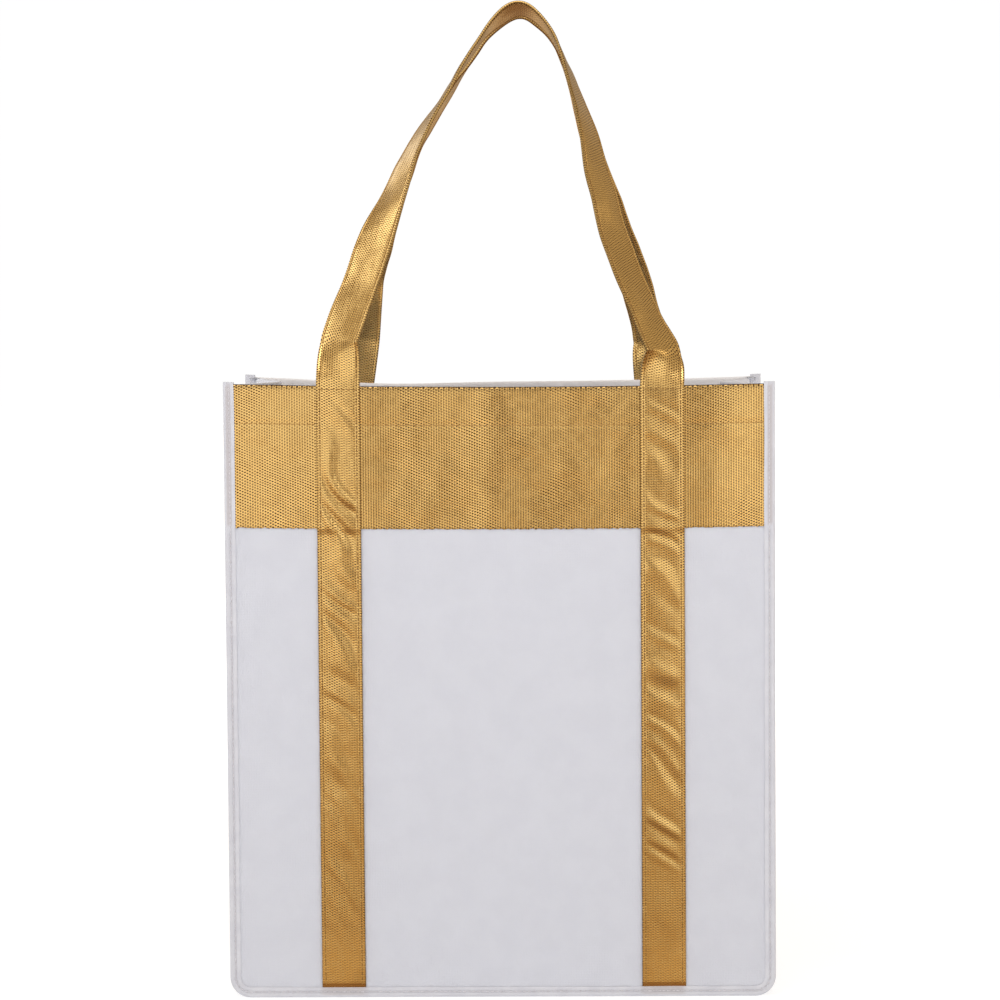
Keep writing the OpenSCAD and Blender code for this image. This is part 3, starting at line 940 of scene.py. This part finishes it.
def make_strap_thread(side):
    """Both edge rows, which show on both faces of the loop, and the row across each leg at the rim."""
    outer, inner, s, along = strap_surface(side)
    outer, inner = placed(outer, side), placed(inner, side)
    rows = []
    keep = along > 3.5 * MM
    keep &= along < along[-1] - 3.5 * MM
    loop = outer[:, 0, 2] > RIM + 8 * MM
    for row in (-1, 1):
        column = int(np.argmin(np.abs(s[0] - row * (STRAP_W / 2 - EDGE_ROW))))
        thick = unit(outer[:, column] - inner[:, column])
        rows.append((outer[keep, column] + thick[keep] * 0.05 * MM, thick[keep]))
        rows.append((inner[loop, column] - thick[loop] * 0.05 * MM, -thick[loop]))
    y = -1 if side == 0 else 1
    for at in (LEFT_X, RIGHT_X):
        x = np.linspace(at - STRAP_W / 2 + EDGE_ROW, at + STRAP_W / 2 - EDGE_ROW, 24)
        flat = np.stack([x, x * 0 - STRAP_FACE - 0.12 * MM, x * 0 + RIM_ROW_Z], 1)
        rows.append(row_on(placed(flat, side), (0, y, 0)))
    name = SIDES[side]
    piece = make_thread(
        f"{name}_strap_stitches", rows, GOLD_THREAD,
        [f"{name}_left_strap_thread", f"{name}_handle_thread", f"{name}_right_strap_thread"],
    )
    join(piece)


def make_hem_thread(side):
    """The row that holds the hem, between the straps and beside them."""
    y = -1 if side == 0 else 1
    gap = STRAP_W / 2 + 0.4 * MM
    rows = []
    for start, stop in ((-SEAM_X, LEFT_X - gap), (LEFT_X + gap, RIGHT_X - gap), (RIGHT_X + gap, SEAM_X)):
        x = np.linspace(start, stop, 60)
        flat = np.stack([x, x * 0 - BAND_FACE + 0.12 * MM, x * 0 + HEM_Z], 1)
        rows.append(row_on(placed(flat, side), (0, y, 0)))
    name = SIDES[side]
    piece = make_thread(f"{name}_hem_stitches", rows, HEM_THREAD, [f"{name}_hem_thread"])
    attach(piece, "bag")


def make_gusset_thread(side, name):
    """The row that holds the hem of a side wall."""
    y = np.linspace(-WALL_HALF + 2.5 * MM, WALL_HALF - 2.5 * MM, 90)
    z = y * 0 + HEM_Z
    x = SEAM_X - tuck(y, z) + wall_give(y, z, side) + 0.04 * MM
    line = warp(np.stack([side * x, y, z], 1))
    normals = unit(np.cross(np.gradient(line, axis=0), np.array([0, 0, 1])))
    normals = normals * np.where(normals[:, :1] * side < 0, -1, 1)
    piece = make_thread(
        f"{name}_gusset_stitches", [(line, normals)], WHITE_THREAD,
        [f"{name}_gusset_hem_thread"],
    )
    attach(piece, "bag")


def make_binding_thread(side):
    """The row through both leaves of the tape, up to the rim."""
    path = whole_tape_path()
    row = np.full((1, 1), SIDE_FLANGE - BINDING_ROW)
    front = tape_points(path, row, np.array([[0.12 * MM]]))[:, 0]
    back = tape_points(path, row, np.array([[TAPE_FACE - TAPE_BACK - 0.02 * MM]]))[:, 0]
    inside = front[:, 2] < RIM + 1 * MM
    y = -1 if side == 0 else 1
    rows = [row_on(placed(front[inside], side), (0, y, 0)), row_on(placed(back[inside], side), (0, -y, 0))]
    name = SIDES[side]
    piece = make_thread(
        f"{name}_binding_stitches", rows, WHITE_THREAD, [f"{name}_binding_thread"]
    )
    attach(piece, "bag")


# ---- Build ----

for side in (0, 1):
    make_binding(side)
    make_panel(side)
    make_band(side)
    make_strap(side)
    make_strap_thread(side)
    make_hem_thread(side)
    make_binding_thread(side)
make_gusset()
make_gusset_thread(-1, "left")
make_gusset_thread(1, "right")

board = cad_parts["base_board"]
board.data.materials.clear()
board.data.materials.append(BOARD)


# ---- Studio ----

def soft_box(name, at, aim, width, height, power, colour=(1, 1, 1), mirrored_in_gold=True):
    """A rectangular area lamp, sizes in metres and power in watts. The camera doesn't see it."""
    light = bpy.data.lights.new(name, "AREA")
    light.shape = "RECTANGLE"
    light.size = width
    light.size_y = height
    light.energy = power
    light.color = colour
    lamp = bpy.data.objects.new(name, light)
    bpy.context.scene.collection.objects.link(lamp)
    lamp.location = at
    lamp.visible_camera = False
    lamp.visible_glossy = mirrored_in_gold
    lamp.rotation_euler = (Vector(aim) - Vector(at)).to_track_quat("-Z", "Y").to_euler()


def stage_mesh(name, points, faces, colour, glow):
    """A piece of the studio. Its glow goes up to 1, pure white, away from the bag."""
    n = Nodes(name)
    n.colour(colour)
    n.roughness(0.9)
    n.shader.inputs["Emission Color"].default_value = (1, 1, 1, 1)
    away = n.add("ShaderNodeVectorMath", operation="LENGTH")
    n.put(n.add("ShaderNodeTexCoord").outputs["Object"], away.inputs[0])
    n.put(n.span(away.outputs["Value"], 0.25, 1.3, glow, 1.0), n.shader.inputs["Emission Strength"])
    mesh = bpy.data.meshes.new(name)
    mesh.from_pydata(points, [], faces)
    mesh.materials.append(n.material)
    made = bpy.data.objects.new(name, mesh)
    bpy.context.scene.collection.objects.link(made)
    made.visible_glossy = False
    return made


# The backdrop: the floor's radius, the dome's size against it, and the number of corners round both
REACH = 9.0
DOME = 1.3
CORNERS = 48


def make_backdrop():
    """A plain pale floor under a white dome that only the camera sees."""
    count = CORNERS
    ring = [
        (REACH * math.cos(a), REACH * math.sin(a)) for a in np.linspace(0, 2 * math.pi, count + 1)[:-1]
    ]
    floor_points = [(x, y, 0) for x, y in ring]
    stage_mesh("studio_floor", floor_points, [tuple(range(count))], (0.40, 0.40, 0.40, 1), 0.70)
    rows = [(math.cos(t), math.sin(t)) for t in np.linspace(-0.5, 1.45, 14)]
    points = [(x * c * DOME, y * c * DOME, REACH * s * DOME) for c, s in rows for x, y in ring]
    faces = [
        (count * r + k, count * r + (k + 1) % count, count * (r + 1) + (k + 1) % count, count * (r + 1) + k)
        for r in range(len(rows) - 1) for k in range(count)
    ]
    faces.append(tuple(count * (len(rows) - 1) + k for k in range(count)))
    dome = stage_mesh("studio_backdrop", points, faces, (0, 0, 0, 1), 1.0)
    dome.visible_diffuse = False
    dome.visible_shadow = False
    dome.visible_transmission = False


def make_lamps():
    """Two large boxes in front, one at each side, one above and two behind."""
    front, side, top = (0, 0, 0.35), (0, 0, 0.45), (0, 0, 0.3)
    cool, warm = (0.95, 1, 1.05), (1, 0.88, 0.70)
    soft_box("left_box", (-0.86, -1.84, 0.60), front, 1.50, 1.4, 6.3, cool)
    soft_box("right_box", (1.00, -1.77, 0.60), front, 1.45, 1.4, 6.6, cool)
    soft_box("left_side_box", (-1.9, -0.15, 1.0), side, 1.0, 1.4, 9, (0.95, 1, 1.08))
    soft_box("right_side_box", (1.85, -0.20, 0.65), side, 0.9, 0.9, 2.9, warm)
    soft_box("high_box", (0, -1.3, 2.3), top, 1.6, 1.2, 21)
    soft_box("back_box", (0.3, 1.9, 1.3), top, 1.6, 1.3, 9, mirrored_in_gold=False)
    soft_box("back_left_box", (-1.35, 1.45, 0.70), front, 1.0, 1.2, 4.2, cool)


# The colour of the studio air, from low (0) over level (0.5) to high (1). The gold mirrors it.
AIR = (
    (0.25, (0.33, 0.20, 0.12, 1)), (0.41, (0.76, 0.57, 0.35, 1)), (0.450, (0.60, 0.46, 0.29, 1)),
    (0.48, (0.27, 0.215, 0.155, 1)), (0.54, (0.32, 0.265, 0.20, 1)), (0.62, (0.50, 0.41, 0.30, 1)),
)


def make_air():
    """A world whose colour depends on how steeply a ray rises."""
    world = bpy.data.worlds.new("studio_air")
    world.use_nodes = True
    tree = world.node_tree
    direction = tree.nodes.new("ShaderNodeTexCoord")
    parts = tree.nodes.new("ShaderNodeSeparateXYZ")
    rise = tree.nodes.new("ShaderNodeMapRange")
    shades = tree.nodes.new("ShaderNodeValToRGB")
    rise.inputs["From Min"].default_value = -1
    tree.links.new(direction.outputs["Generated"], parts.inputs[0])
    tree.links.new(parts.outputs[2], rise.inputs["Value"])
    tree.links.new(rise.outputs[0], shades.inputs[0])
    tree.links.new(shades.outputs[0], tree.nodes["Background"].inputs[0])
    ramp = shades.color_ramp
    for place, colour in AIR:
        ramp.elements.new(place).color = colour
    # The two elements that every new ramp comes with
    ramp.elements.remove(ramp.elements[0])
    ramp.elements.remove(ramp.elements[-1])
    bpy.context.scene.world = world
    bpy.context.scene.view_settings.view_transform = "Standard"


make_backdrop()
make_lamps()
make_air()
